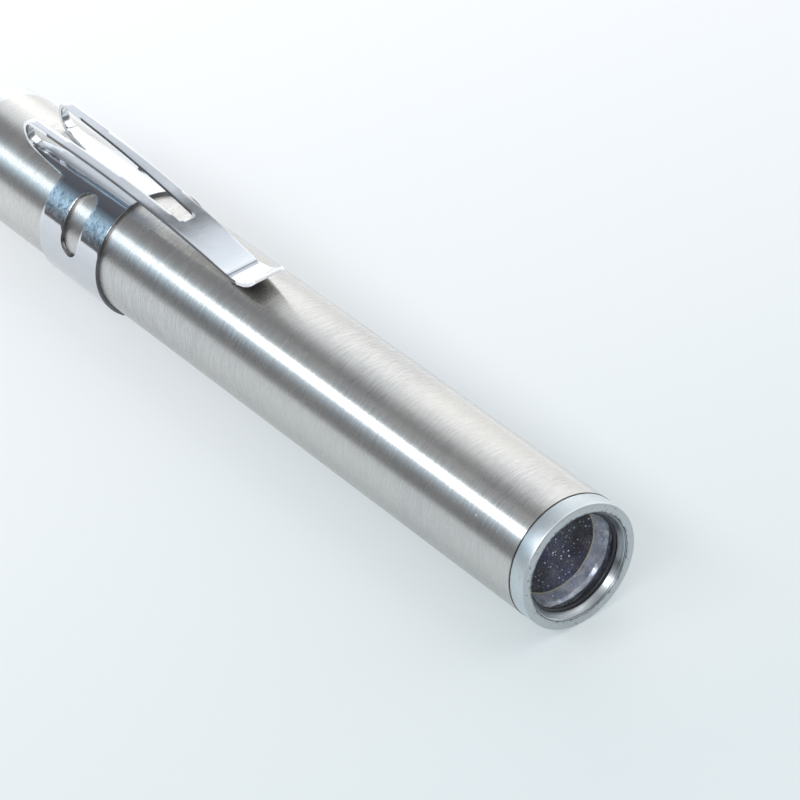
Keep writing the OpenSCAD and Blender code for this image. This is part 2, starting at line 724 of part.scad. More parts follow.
module clip_base() placed() color([0.85, 0.87, 0.9]) {
    limb_half_w = band_out_r * sin(limb_angle);
    reach = 2 * band_out_r;
    difference() {
        union() {
            intersection() {
                ring_piece(band_out_r, band_in_r, band_front_s, loop_s + limb_lap);
                union() {
                    from_front(
                        [[-reach, -reach], [reach, -reach], [reach, reach], [-reach, reach]],
                        band_front_s - cut, band_rear_s
                    );
                    from_above([
                        [band_rear_s - cut, limb_half_w], [band_rear_s, limb_half_w], [loop_s, arm_rear_w / 2],
                        [loop_s + limb_lap, arm_rear_w / 2], [loop_s + limb_lap, -arm_rear_w / 2],
                        [loop_s, -arm_rear_w / 2], [band_rear_s, -limb_half_w], [band_rear_s - cut, -limb_half_w]
                    ]);
                }
            }
            half_loop(false);
        }
        leg_slot(band_rear_s + limb_slot_inset, limb_slot_w, loop_end_s + cut, slot_rear_w);
        from_front(
            [[0, 0], for (a = [band_end_angle, 360 - band_end_angle]) [reach * sin(a), reach * cos(a)]],
            band_front_s - cut, band_rear_s + cut
        );
        band_window();
        mirror([0, 1, 0])
            band_window();
    }
}

// Top of the arm: level behind the loops, then falling as a parabola to the crease, then curled up as the lip
function arm_z(s) =
    let (level_s = band_rear_s, k = max(0, (level_s - s) / (level_s - crease_s)))
        arm_top_z - (arm_top_z - crease_z) * pow(k, 2);
module clip_arm() placed() color([0.85, 0.87, 0.9]) {
    lip_angle = asin(lip_len / lip_curl_r);
    spine = concat(
        [[loop_s + limb_lap, arm_top_z]],
        [for (i = [0:arm_steps]) let (s = band_rear_s + (crease_s - band_rear_s) * i / arm_steps) [s, arm_z(s)]],
        [
            for (i = [1:lip_steps])
                let (a = lip_angle * i / lip_steps)
                    [crease_s - lip_curl_r * sin(a), crease_z + lip_curl_r * (1 - cos(a))]
        ]
    );
    under = [for (i = [len(spine) - 1:-1:0]) [spine[i][0], spine[i][1] - clip_t]];
    tip_s = crease_s - lip_len;
    tip_half_w = arm_tip_w / 2 + tip_flare;
    half_loop(true);
    difference() {
        intersection() {
            rotate([90, 0, 0])
                linear_extrude(2 * arm_rear_w, center = true)
                    polygon([for (p = concat(spine, under)) [-p[0], p[1]]]);
            from_above([
                [loop_s + cut, arm_rear_w / 2], [crease_s, arm_tip_w / 2], [tip_s + lip_chamfer, tip_half_w],
                [tip_s, tip_half_w - lip_chamfer], [tip_s, lip_chamfer - tip_half_w], [tip_s + lip_chamfer, -tip_half_w],
                [crease_s, -arm_tip_w / 2], [loop_s + cut, -arm_rear_w / 2]
            ]);
        }
        leg_slot(slot_front_s, slot_front_w, loop_end_s + cut, slot_rear_w);
    }
}

barrel_tube();
bezel();
lens_ring();
lens();
reflector();
emitter_gasket();
emitter_base();
emitter_phosphor();
emitter_dome();
emitter_board();
emitter_leads();
heat_sink();
driver_board();
driver_parts();
driver_ring();
front_contact();
cell_can();
cell_core();
cell_base();
cell_nub();
cell_washer();
cell_wrap();
tail_spring();
tail_cap();
cap_seal();
switch_ring();
switch_board();
switch_housing();
switch_contact_fixed();
switch_plunger();
switch_contact_moving();
switch_spring();
button();
button_seal();
clip_base();
clip_arm();
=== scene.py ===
"""Looks of the stainless penlight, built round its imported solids.

Lengths are millimetres unless a name ends in _m. A station is a distance behind the light's front face,
and a place is given as (station, y, height above the barrel's axis). Materials work in metres of the shared
frame: x from the light's middle toward the lens, z up from the floor.
"""

import json
import math

import bmesh
import bpy
import numpy as np
from mathutils import Matrix, Vector
from mathutils.geometry import delaunay_2d_cdt


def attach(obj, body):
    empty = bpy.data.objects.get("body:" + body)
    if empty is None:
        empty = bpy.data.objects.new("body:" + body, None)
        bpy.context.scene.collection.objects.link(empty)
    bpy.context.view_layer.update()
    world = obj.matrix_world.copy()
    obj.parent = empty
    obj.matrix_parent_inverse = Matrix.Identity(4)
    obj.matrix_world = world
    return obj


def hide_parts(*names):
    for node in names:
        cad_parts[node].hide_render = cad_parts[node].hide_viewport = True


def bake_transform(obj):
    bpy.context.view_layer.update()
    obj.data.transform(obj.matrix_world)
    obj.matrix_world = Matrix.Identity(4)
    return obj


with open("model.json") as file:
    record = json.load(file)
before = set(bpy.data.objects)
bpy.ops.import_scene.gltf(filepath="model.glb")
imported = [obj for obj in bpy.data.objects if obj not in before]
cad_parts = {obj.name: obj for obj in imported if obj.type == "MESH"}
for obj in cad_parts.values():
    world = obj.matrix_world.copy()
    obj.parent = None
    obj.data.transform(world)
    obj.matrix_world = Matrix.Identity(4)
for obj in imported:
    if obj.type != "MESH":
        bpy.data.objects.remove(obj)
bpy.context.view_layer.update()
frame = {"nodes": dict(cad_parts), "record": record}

MM = 0.001
TUBE_R = 6.75
FACE_X = 50.7
# x of the joint between the tube and the bezel
SEAM_X = FACE_X - 2.1
TAU = 2 * math.pi


# ---------------------------------------------------------------- materials

class Finish:
    """A procedural material, or a world's shading, with short calls that add nodes and join them."""

    def __init__(self, name, world=None):
        self.material = bpy.data.materials.new(name) if world is None else world
        self.material.use_nodes = True
        self.tree = self.material.node_tree
        self.tree.nodes.clear()

    def add(self, kind, inputs=None, **settings):
        node = self.tree.nodes.new("ShaderNode" + kind)
        for key, value in settings.items():
            setattr(node, key, value)
        for key, value in (inputs or {}).items():
            self.put(node, key, value)
        return node

    def sum(self, operation, a, b=0.0, clamp=False):
        return self.add("Math", {0: a, 1: b}, operation=operation, use_clamp=clamp).outputs[0]

    def vector(self, operation, a, b=(0.0, 0.0, 0.0), scale=1.0):
        node = self.add("VectorMath", {0: a}, operation=operation)
        if operation == "SCALE":
            self.put(node, "Scale", scale)
        elif operation != "NORMALIZE":
            self.put(node, 1, b)
        return node.outputs[0]

    def put(self, node, key, value):
        """Sets an input to a value, or joins it to another node's socket."""
        if isinstance(value, bpy.types.NodeSocket):
            self.tree.links.new(value, node.inputs[key])
        else:
            node.inputs[key].default_value = value

    def place(self):
        return self.add("TexCoord").outputs["Object"]

    def parts(self, vector):
        node = self.add("SeparateXYZ", {0: vector})
        return node.outputs[0], node.outputs[1], node.outputs[2]

    def noise(self, vector, scale, detail=2.0, roughness=0.5):
        inputs = {"Vector": vector, "Scale": scale, "Detail": detail, "Roughness": roughness}
        return self.add("TexNoise", inputs).outputs[0]

    def ramp(self, value, stops, smooth=False):
        node = self.add("ValToRGB", {0: value})
        ramp = node.color_ramp
        ramp.interpolation = "EASE" if smooth else "LINEAR"
        while len(ramp.elements) < len(stops):
            ramp.elements.new(0.5)
        for element, (at, colour) in zip(ramp.elements, stops):
            element.position = at
            element.color = (colour, colour, colour, 1) if isinstance(colour, (int, float)) else (*colour, 1)
        return node.outputs[0]

    def remap(self, value, a, b, at_a=0.0, at_b=1.0):
        """at_a up to a, at_b from b on and straight in between. Unlike a ramp it has no steps, so it also
        serves for short lengths in metres."""
        return self.add("MapRange", {0: value, 1: a, 2: b, 3: at_a, 4: at_b}).outputs[0]

    def between(self, value, rise, full, fall, end):
        """1 from full to fall, 0 outside rise and end."""
        up = self.remap(value, rise, full)
        down = self.remap(value, fall, end, 1.0, 0.0)
        return self.sum("MULTIPLY", up, down)

    def mix(self, share, a, b, blend="MIX"):
        node = self.add("Mix", data_type="RGBA", blend_type=blend)
        # A mix of colours takes its share in socket 0 and its colours in 6 and 7, and gives its result in 2
        for key, value in ((0, share), (6, a), (7, b)):
            if isinstance(value, tuple) and len(value) == 3:
                value = (*value, 1)
            self.put(node, key, value)
        return node.outputs[2]

    def fade(self, value, low, high, a, b):
        """Colour a up to low, colour b from high on, and a mix of them in between."""
        return self.mix(self.ramp(value, [(low, 0.0), (high, 1.0)]), a, b)

    def bump(self, height, strength, distance_m, normal=None):
        node = self.add("Bump", {"Height": height, "Strength": strength, "Distance": distance_m})
        if normal is not None:
            self.put(node, "Normal", normal)
        return node.outputs[0]

    def about_axis(self):
        """The place seen from the barrel's axis, its part across the axis, and the length of that part."""
        centred = self.vector("SUBTRACT", self.place(), (0, 0, TUBE_R * MM))
        radial = self.vector("MULTIPLY", centred, (0, 1, 1))
        r = self.add("VectorMath", {0: radial}, operation="LENGTH").outputs["Value"]
        return centred, radial, r

    def around(self, along, turn, skew=0.0):
        """A place for marks that run round the axis: fine along the light and outward, long round it."""
        centred, radial, r = self.about_axis()
        x, y, _ = self.parts(centred)
        length = self.sum("ADD", x, r)
        if skew:
            length = self.sum("ADD", length, self.sum("MULTIPLY", y, skew))
        length = self.sum("MULTIPLY", length, along)
        wide = self.vector("SCALE", self.vector("NORMALIZE", radial), scale=turn)
        return self.vector("ADD", wide, self.add("CombineXYZ", {0: length}).outputs[0])

    def surface(self, shader):
        out = self.add("OutputMaterial")
        self.tree.links.new(shader, out.inputs["Surface"])
        return self.material

    def principled(self, inputs):
        return self.add("BsdfPrincipled", inputs).outputs[0]

    def finished(self, base, metallic, rough, normal):
        return self.surface(self.principled({
            "Base Color": base, "Metallic": metallic, "Roughness": rough, "Normal": normal,
        }))


def turned_metal(name, colour, roughness, fine, depth=0.05, stretch=0.0, variation=0.06, dash=1.6, seam=None):
    """Metal with the fine lines that a lathe or a brush leaves round the axis. dash is how short they are,
    and stretch how far they draw out a highlight. seam is the x in millimetres of the joint with the bezel,
    where a thin dark line is painted as the shade of the gap. With a seam the metal also has painted light that
    makes it lighter toward the tail and painted shade that makes it darker low down, draws out its highlight a
    little less behind the middle, and has dust and small pits."""
    f = Finish(name)
    lines = f.noise(f.around(fine, dash), 1.0, 3.0, 0.65)
    broad = f.noise(f.around(fine / 9, dash * 0.6, 0.05), 1.0, 2.0)
    dark = tuple(c * (1 - variation) for c in colour)
    base = f.fade(lines, 0.36, 0.64, dark, colour)
    rough = f.remap(broad, 0.25, 0.75, roughness * 0.95, roughness * 1.05)
    metallic = 1.0
    if seam is not None:
        p = f.place()
        x, _, z = f.parts(p)
        cloud = f.noise(p, 60, 2.0)
        warm = tuple(c * w for c, w in zip(colour, (1.0, 0.985, 0.955)))
        base = f.mix(f.ramp(cloud, [(0.4, 0.0), (0.62, 0.6)], True), base, warm)
        # Painted light makes the metal lighter toward the tail, and painted shade makes it darker low down
        painted_light_to_tail = f.remap(x, 0.004, -0.046, 1.0, 1.12)
        painted_shade_low = f.remap(z, 0.0085, 0.0058, 1.0, 0.88)
        base = f.vector("SCALE", base, scale=f.sum("MULTIPLY", painted_light_to_tail, painted_shade_low))
        stretch = f.remap(x, 0.01, -0.02, stretch, stretch * 0.91)
        # Painted shade: a thin dark line at the joint with the bezel, for the gap between them
        off = f.sum("ABSOLUTE", f.sum("SUBTRACT", x, seam * MM))
        line = f.sum("SUBTRACT", 1.0, f.sum("DIVIDE", off, 0.11 * MM), True)
        base = f.mix(f.ramp(line, [(0.0, 0.0), (0.7, 0.8)]), base, (0.05, 0.055, 0.06))
        cells = f.add("TexVoronoi", {"Vector": p, "Scale": 330.0, "Randomness": 1.0}, feature="F1")
        kind = f.parts(cells.outputs["Color"])
        size = f.sum("MULTIPLY", f.sum("POWER", kind[0], 4.0), 0.03)
        speck = f.sum("LESS_THAN", cells.outputs["Distance"], size)
        pit = f.sum("MULTIPLY", speck, f.sum("GREATER_THAN", kind[1], 0.62))
        dust = f.sum("SUBTRACT", speck, pit)
        base = f.mix(pit, f.mix(dust, base, (0.95, 0.97, 1.0)), (0.1, 0.1, 0.11))
        metallic = f.sum("SUBTRACT", 1.0, dust)
    normal = f.bump(lines, depth, 0.00003)
    inputs = {"Base Color": base, "Metallic": metallic, "Roughness": rough, "Normal": normal}
    if stretch != 0:
        inputs["Anisotropic"] = stretch
        inputs["Anisotropic Rotation"] = 0.25
        inputs["Tangent"] = f.add("Tangent", direction_type="RADIAL", axis="X").outputs[0]
    return f.surface(f.principled(inputs))


def blasted_metal(name, colour, roughness, pits, dirt_and_shade=None):
    """Bead-blasted metal: a fine even grain and a few dark specks. dirt_and_shade is for an edge: "radius"
    or "place", then where that is and how wide. Grime gathers near that edge, and a thin dark line is painted
    right on it as the shade of the gap or corner there."""
    f = Finish(name)
    p = f.place()
    grain = f.noise(p, 7000, 2.0, 0.7)
    patch = f.noise(p, 420, 3.0)
    base = f.fade(patch, 0.35, 0.65, tuple(c * 0.93 for c in colour), colour)
    base = f.mix(f.ramp(grain, [(0.3, 0.0), (0.7, 0.12)]), base, tuple(min(1, c * 1.25) for c in colour))
    speck = f.ramp(f.noise(p, 2600, 2.0, 0.6), [(0.63, 0.0), (0.69, 1.0)])
    base = f.mix(f.sum("MULTIPLY", speck, pits), base, (0.12, 0.13, 0.15))
    if dirt_and_shade:
        kind, middle, width = dirt_and_shade
        centred, _, r = f.about_axis()
        measure = r if kind == "radius" else f.parts(centred)[0]
        off = f.sum("ABSOLUTE", f.sum("SUBTRACT", measure, middle * MM))
        close = f.sum("SUBTRACT", 1.0, f.sum("DIVIDE", off, width * MM), True)
        grime = f.ramp(f.noise(p, 1700, 3.0, 0.65), [(0.48, 0.0), (0.58, 1.0)])
        base = f.mix(f.sum("MULTIPLY", f.sum("MULTIPLY", grime, close), 0.85), base, (0.03, 0.035, 0.045))
        # Painted shade: a thin dark line right on the edge, for the gap at the tube's joint or the face's inner
        # corner
        shade_line = f.ramp(f.sum("DIVIDE", off, 0.09 * MM), [(0.45, 0.85), (1.0, 0.0)])
        base = f.mix(shade_line, base, (0.05, 0.055, 0.065))
    rough = f.remap(patch, 0.3, 0.7, roughness * 0.88, roughness * 1.1)
    return f.finished(base, 1.0, rough, f.bump(grain, 0.16, 0.00002))


def moulded(name, colour, roughness=0.45, grain=1800, depth=0.12, variation=0.12, **extra):
    """Moulded plastic, rubber or ceramic, with faint mottling and a fine surface grain."""
    f = Finish(name)
    p = f.place()
    cloud = f.noise(p, grain / 6, 3.0)
    base = f.fade(cloud, 0.3, 0.7, tuple(c * (1 - variation) for c in colour), colour)
    rough = f.remap(cloud, 0.3, 0.7, roughness * 0.9, roughness * 1.12)
    inputs = {"Base Color": base, "Roughness": rough, "Normal": f.bump(f.noise(p, grain, 3.0), depth, 0.00003)}
    inputs.update({key.replace("_", " "): value for key, value in extra.items()})
    return f.surface(f.principled(inputs))


# Places in metres where the clip's finish changes: the band lies behind BAND_X_M and its hammered side, which
# also
# # carries painted reflections, between the heights of BAND_SIDE_M. The cut edges get painted highlights at the
# tip,
# # ahead of TIP_X_M, at the loops, behind LOOP_X_M, and on the legs below them, behind LEG_X_M and under
# LEG_Z_M
BAND_X_M, BAND_SIDE_M = -0.019, (0.0103, 0.0106, 0.0123, 0.0127)
TIP_X_M, LOOP_X_M, LEG_X_M, LEG_Z_M = -0.0009, -0.0335, -0.0308, 0.0145


def polished_steel(name):
    """Plated spring steel of the clip: a near mirror with faint draw marks, uneven on the band's side, where
    worn patches and painted dark blue reflections lie, and darkened low down by painted shade.
    """
    f = Finish(name)
    p = f.place()
    x, _, z = f.parts(p)
    lines = f.noise(f.vector("MULTIPLY", p, (1, 0.06, 0.06)), 6500, 2.0, 0.6)
    stain = f.noise(p, 640, 4.0, 0.6)
    rolled = f.sum("MULTIPLY", f.between(z, *BAND_SIDE_M), f.sum("LESS_THAN", x, BAND_X_M))
    ripple = f.noise(p, 2300, 4.0, 0.7)
    worn = f.sum("MULTIPLY", f.ramp(f.noise(p, 1500, 4.0, 0.7), [(0.46, 0.0), (0.62, 1.0)]), rolled)
    base = f.fade(stain, 0.44, 0.66, (0.8, 0.82, 0.85), (0.76, 0.79, 0.83))
    base = f.mix(f.sum("MULTIPLY", worn, 0.6), base, (0.97, 0.98, 1.0))
    # Painted reflection: dark blue blots on the band's hammered side
    painted_reflection_blots = f.sum("MULTIPLY", f.ramp(f.noise(p, 1250, 5.0, 0.72), [(0.5, 0.0), (0.6, 0.6)]), rolled)
    base = f.mix(painted_reflection_blots, base, (0.16, 0.21, 0.3))
    # Painted shade: the clip darkens toward the bottom of the band
    base = f.vector("SCALE", base, scale=f.remap(z, 0.0102, 0.0082, 1.0, 0.8))
    rough = f.sum("ADD", f.remap(stain, 0.35, 0.7, 0.07, 0.12), f.sum("MULTIPLY", worn, 0.05))
    strength = f.sum("ADD", f.sum("MULTIPLY", rolled, 0.75), 0.03)
    normal = f.bump(lines, 0.05, 0.00002, f.bump(ripple, strength, 0.00005))
    return f.finished(base, 1.0, rough, normal)


def sheared_steel(name, colour, roughness, metallic=1.0, painted_edge_highlights=False):
    """Sheet steel without the plating's shine, for the clip's cut edges and its inner side, in colours given to
    paint light and shade there. With painted_edge_highlights, painted highlights make it pale and less metallic
    at the tip, the loops and the legs below them."""
    f = Finish(name)
    p = f.place()
    grain = f.noise(p, 5200, 3.0, 0.65)
    patch = f.noise(p, 700, 3.0)
    base = f.fade(patch, 0.35, 0.65, tuple(c * 0.8 for c in colour), colour)
    rough = f.remap(grain, 0.3, 0.7, roughness * 0.85, roughness * 1.15)
    normal = f.bump(grain, 0.15, 0.00002)
    # Painted highlights on the cut edges at the tip, the loops and the legs below them
    if painted_edge_highlights:
        x, _, z = f.parts(p)
        low = f.sum("MULTIPLY", f.sum("LESS_THAN", x, LEG_X_M), f.sum("LESS_THAN", z, LEG_Z_M))
        ends = f.sum("MAXIMUM", f.sum("GREATER_THAN", x, TIP_X_M), f.sum("LESS_THAN", x, LOOP_X_M))
        painted_highlight = f.sum("MAXIMUM", ends, low)
        base = f.mix(painted_highlight, base, (0.9, 0.92, 0.94))
        metallic = f.sum("SUBTRACT", metallic, f.sum("MULTIPLY", painted_highlight, 0.6))
    return f.finished(base, metallic, rough, normal)


def dusty_glass(name):
    """Clear glass with the dust, haze and tiny scratches of use on its faces."""
    f = Finish(name)
    p = f.place()
    _, y, z = f.parts(p)
    flat = f.add("CombineXYZ", {0: y, 1: z}).outputs[0]
    cells = f.add(
        "TexVoronoi", {"Vector": flat, "Scale": 2250.0, "Randomness": 1.0},
        feature="F1", voronoi_dimensions="2D",
    )
    size = f.sum("MULTIPLY", f.sum("POWER", f.parts(cells.outputs["Color"])[0], 5.0), 0.25)
    specks = f.sum("LESS_THAN", cells.outputs["Distance"], size)
    clusters = f.ramp(f.noise(p, 420, 3.0), [(0.4, 0.25), (0.6, 1.0)])
    haze = f.ramp(f.noise(p, 330, 5.0, 0.7), [(0.42, 0.0), (0.78, 0.14)])
    dust = f.sum("MAXIMUM", f.sum("MULTIPLY", specks, clusters), haze)
    faced = f.sum("GREATER_THAN", f.sum("ABSOLUTE", f.parts(f.add("NewGeometry").outputs["Normal"])[0]), 0.9)
    dust = f.sum("MULTIPLY", dust, f.sum("MULTIPLY", faced, 0.75))
    glass = f.principled({
        "Base Color": (0.97, 0.98, 1.0, 1), "Roughness": 0.01, "IOR": 1.2, "Transmission Weight": 1.0,
    })
    powder = f.principled({"Base Color": (0.7, 0.77, 0.95, 1), "Roughness": 0.8})
    return f.surface(f.add("MixShader", {0: dust, 1: glass, 2: powder}).outputs[0])


# Where the bowl's painted bright reflection by the mouth ends and its painted dark shade begins
LEDGE_STATION = 4.05


def mirror_bowl(name):
    """Bowl with painted reflection and shade: a bright blue-grey band by the mouth as painted reflection, a
    thin golden edge, then dark navy and brown painted shade down to the emitter, where it is more of a mirror.
    """
    f = Finish(name)
    p = f.place()
    x = f.parts(p)[0]
    cloud = f.noise(p, 520, 3.0)
    depth = f.sum("MULTIPLY", f.sum("SUBTRACT", (FACE_X - LEDGE_STATION) * MM, x), 1 / MM)
    depth = f.sum("ADD", depth, f.sum("MULTIPLY", f.sum("SUBTRACT", cloud, 0.5), 0.12))
    deep = f.ramp(depth, [(0.0, 0.0), (0.03, 1.0)])
    edge = f.ramp(f.sum("ABSOLUTE", depth), [(0.04, 1.0), (0.09, 0.0)])
    # Painted reflection by the mouth, painted shade deeper in
    bright = f.fade(f.noise(p, 900, 4.0, 0.7), 0.42, 0.62, (0.92, 0.95, 1.0), (0.42, 0.47, 0.58))
    dark = f.fade(f.noise(p, 300, 3.0), 0.35, 0.65, (0.025, 0.045, 0.25), (0.16, 0.1, 0.085))
    base = f.mix(edge, f.mix(deep, bright, dark), (1.0, 0.88, 0.56))
    rough = f.sum("ADD", f.remap(cloud, 0.3, 0.7, 0.15, 0.24), f.sum("MULTIPLY", edge, 0.3))
    metal_share = f.sum("ADD", f.sum("MULTIPLY", deep, 0.75), 0.25)
    metallic = f.sum("SUBTRACT", metal_share, f.sum("MULTIPLY", edge, 0.4), True)
    normal = f.bump(f.noise(p, 1100, 3.0), 0.3, 0.00005)
    return f.finished(base, metallic, rough, normal)


def circuit_board(name):
    """Green solder mask over copper tracks, with tinned pads."""
    f = Finish(name)
    _, y, z = f.parts(f.place())
    flat = f.add("CombineXYZ", {0: y, 1: z}).outputs[0]
    tracks = f.add("TexVoronoi", {"Vector": flat, "Scale": 620.0}, feature="DISTANCE_TO_EDGE")
    on_track = f.ramp(tracks.outputs["Distance"], [(0.05, 1.0), (0.08, 0.0)])
    pads = f.add("TexVoronoi", {"Vector": flat, "Scale": 900.0}, feature="F1")
    on_pad = f.ramp(pads.outputs["Distance"], [(0.16, 1.0), (0.2, 0.0)])
    base = f.mix(on_track, (0.012, 0.16, 0.06), (0.03, 0.28, 0.1))
    base = f.mix(on_pad, base, (0.72, 0.72, 0.7))
    return f.finished(base, on_pad, 0.32, f.bump(f.sum("MAXIMUM", on_track, on_pad), 0.3, 0.00003))


def cell_film(name):
    """Printed film of a plain cell: a dark body and a copper-coloured end band, both scuffed."""
    f = Finish(name)
    p = f.place()
    band = f.sum("GREATER_THAN", f.parts(p)[0], (FACE_X - 41.0) * MM)
    scuff = f.ramp(f.noise(f.around(900, 3.0), 1.0, 4.0), [(0.5, 0.0), (0.9, 0.5)])
    base = f.mix(band, (0.03, 0.05, 0.09), (0.55, 0.27, 0.12))
    base = f.mix(scuff, base, (0.3, 0.3, 0.3))
    normal = f.bump(f.noise(p, 700, 3.0), 0.15, 0.00005)
    return f.surface(f.principled({
        "Base Color": base, "Metallic": 0.25, "Roughness": 0.3, "Coat Weight": 0.4, "Normal": normal,
    }))


def two_leads(name):
    """Insulated leads: red on one side, black on the other, tinned where they meet the board."""
    f = Finish(name)
    p = f.place()
    x, y, _ = f.parts(p)
    red = f.sum("GREATER_THAN", y, 0.0)
    tinned = f.sum("GREATER_THAN", x, (FACE_X - 10.8) * MM)
    grime = f.noise(p, 2200, 3.0)
    base = f.mix(red, (0.02, 0.02, 0.022), (0.5, 0.03, 0.02))
    base = f.mix(f.ramp(grime, [(0.4, 0.0), (0.8, 0.3)]), base, (0.2, 0.18, 0.17))
    base = f.mix(tinned, base, (0.75, 0.75, 0.74))
    return f.finished(base, tinned, 0.4, f.bump(grime, 0.1, 0.00003))


FINISH = {
    "barrel_steel": turned_metal(
        "brushed_steel", (0.69, 0.692, 0.684), 0.27, fine=9500, depth=0.17, stretch=1.0, variation=0.24,
        dash=4.5, seam=SEAM_X,
    ),
    "blasted_aluminium": blasted_metal(
        "blasted_aluminium", (0.64, 0.7, 0.73), 0.4, pits=0.15, dirt_and_shade=("place", SEAM_X, 0.16)
    ),
    "face_aluminium": blasted_metal(
        "face_aluminium", (0.55, 0.585, 0.605), 0.46, pits=0.65, dirt_and_shade=("radius", 5.74, 0.3)
    ),
    "bore_aluminium": turned_metal(
        "bore_aluminium", (0.6, 0.65, 0.69), 0.3, fine=3400, depth=0.9, stretch=0.5, variation=0.5, dash=0.5
    ),
    "black_rubber": moulded("black_rubber", (0.018, 0.02, 0.026), 0.42, 2600, 0.1),
    "lens_glass": dusty_glass("lens_glass"),
    "reflector_mirror": mirror_bowl("reflector_mirror"),
    "white_plastic": moulded("white_plastic", (0.8, 0.79, 0.74), 0.4, Subsurface_Weight=0.1),
    "emitter_ceramic": moulded("emitter_ceramic", (0.78, 0.76, 0.7), 0.35, 3000),
    "phosphor": moulded("phosphor", (0.86, 0.62, 0.1), 0.6, 4200, 0.2),
    "dome_silicone": moulded(
        "dome_silicone", (0.97, 0.96, 0.9), 0.04, 1500, 0.02, 0.02, Transmission_Weight=1.0, IOR=1.41
    ),
    "board_aluminium": turned_metal("board_aluminium", (0.8, 0.81, 0.82), 0.35, fine=4000),
    "lead_wire": two_leads("lead_wire"),
    "brass": turned_metal("brass", (0.72, 0.5, 0.22), 0.24, fine=5200, depth=0.15, stretch=0.4),
    "circuit_board": circuit_board("circuit_board"),
    "black_plastic": moulded("black_plastic", (0.03, 0.03, 0.033), 0.38),
    "gilt_spring": turned_metal("gilt_spring", (0.84, 0.64, 0.28), 0.2, fine=3000, depth=0.05),
    "plated_steel": turned_metal("plated_steel", (0.68, 0.68, 0.69), 0.22, fine=4800, depth=0.08, stretch=0.3),
    "cell_core": moulded("cell_core", (0.025, 0.025, 0.028), 0.75, 2000, 0.4),
    "cell_wrap": cell_film("cell_wrap"),
    "spring_steel": turned_metal("spring_steel", (0.6, 0.6, 0.61), 0.25, fine=3000, depth=0.06),
    "button_steel": turned_metal("button_steel", (0.62, 0.625, 0.63), 0.23, fine=7200, depth=0.1, stretch=0.5),
    "clip_steel": polished_steel("clip_steel"),
    # The clip's cut edges are dark grey as painted shade, with painted highlights; its underside is white as
    # painted light under the arm and dark as painted shade under the lip
    "clip_edge": sheared_steel("clip_edge", (0.2, 0.2, 0.21), 0.3, painted_edge_highlights=True),
    "clip_inside": sheared_steel("clip_inside", (0.95, 0.94, 0.92), 0.5, metallic=0.0),
    "clip_shade": sheared_steel("clip_shade", (0.3, 0.29, 0.28), 0.4, metallic=0.6),
    "tail_aluminium": blasted_metal("tail_aluminium", (0.84, 0.88, 0.91), 0.42, pits=0.15),
}

slot_of = {p["node"]: p["material_slot"] for p in frame["record"]["subparts"]}
for name, node in frame["nodes"].items():
    node.data.materials.clear()
    node.data.materials.append(FINISH["tail_aluminium" if name == "tail_cap" else slot_of[name]])
    for polygon in node.data.polygons:
        polygon.material_index = 0


# ---------------------------------------------------------------- pieces

def places_to_world(places):
    """Rows of (station, y, height above the axis) as world points in metres."""
    p = np.asarray(places, float)
    return np.column_stack(((FACE_X - p[:, 0]) * MM, p[:, 1] * MM, (p[:, 2] + TUBE_R) * MM))


def piece(name, places, faces, finishes, nodes, picks=None, body=None):
    """A smooth mesh piece that stands for CAD nodes. picks gives each face's finish."""
    mesh = bpy.data.meshes.new(name)
    mesh.from_pydata([tuple(p) for p in places_to_world(places)], [], faces)
    for key in finishes:
        mesh.materials.append(FINISH[key])
    if picks is not None:
        mesh.polygons.foreach_set("material_index", picks)
    obj = bpy.data.objects.new(name, mesh)
    bpy.context.scene.collection.objects.link(obj)
    b = bmesh.new()
    b.from_mesh(mesh)
    bmesh.ops.remove_doubles(b, verts=b.verts, dist=1e-7)
    bmesh.ops.dissolve_degenerate(b, edges=b.edges, dist=1e-8)
    bmesh.ops.recalc_face_normals(b, faces=b.faces)
    for face in b.faces:
        face.smooth = True
    b.to_mesh(mesh)
    b.free()
    if body:
        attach(obj, body)
    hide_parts(*nodes)
    return obj


def even_shading(obj):
    obj.modifiers.new("even_shading", "WEIGHTED_NORMAL").weight = 60


def rounded(outline, fillet, steps=4):
    """The closed outline of (radius, station, finish) with each corner off the axis rounded."""
    out = []
    count = len(outline)
    for i, (r, s, pick) in enumerate(outline):
        here = np.array((r, s), float)
        back = np.array(outline[i - 1][:2], float) - here
        ahead = np.array(outline[(i + 1) % count][:2], float) - here
        reach = min(fillet, 0.4 * np.linalg.norm(back), 0.4 * np.linalg.norm(ahead))
        turn = abs(np.cross(back, ahead)) / (np.linalg.norm(back) * np.linalg.norm(ahead))
        if r < 1e-6 or turn < 0.25:
            out.append((r, s, pick))
            continue
        start = here + back / np.linalg.norm(back) * reach
        end = here + ahead / np.linalg.norm(ahead) * reach
        for k in range(steps + 1):
            t = k / steps
            p = (1 - t) ** 2 * start + 2 * t * (1 - t) * here + t * t * end
            out.append((p[0], p[1], pick if k > steps / 2 else outline[i - 1][2]))
    return out


def lathe(name, body, nodes, slot, outline, finishes=None, fillet=0.06, segments=192):
    """Turns a closed outline of (radius, station, finish) round the axis."""
    outline = [(*p, 0)[:3] for p in outline]
    ring = rounded(outline, fillet)
    places, faces, picks = [], [], []
    for r, s, _ in ring:
        for j in range(segments):
            a = TAU * j / segments
            places.append((s, r * math.sin(a), r * math.cos(a)))
    n = len(ring)
    for i in range(n):
        k = (i + 1) % n
        if ring[i][0] < 1e-6 and ring[k][0] < 1e-6:
            continue
        for j in range(segments):
            m = (j + 1) % segments
            faces.append((i * segments + j, k * segments + j, k * segments + m, i * segments + m))
            picks.append(ring[i][2])
    obj = piece(name, places, faces, finishes or [slot], nodes, picks, body)
    even_shading(obj)
    return obj


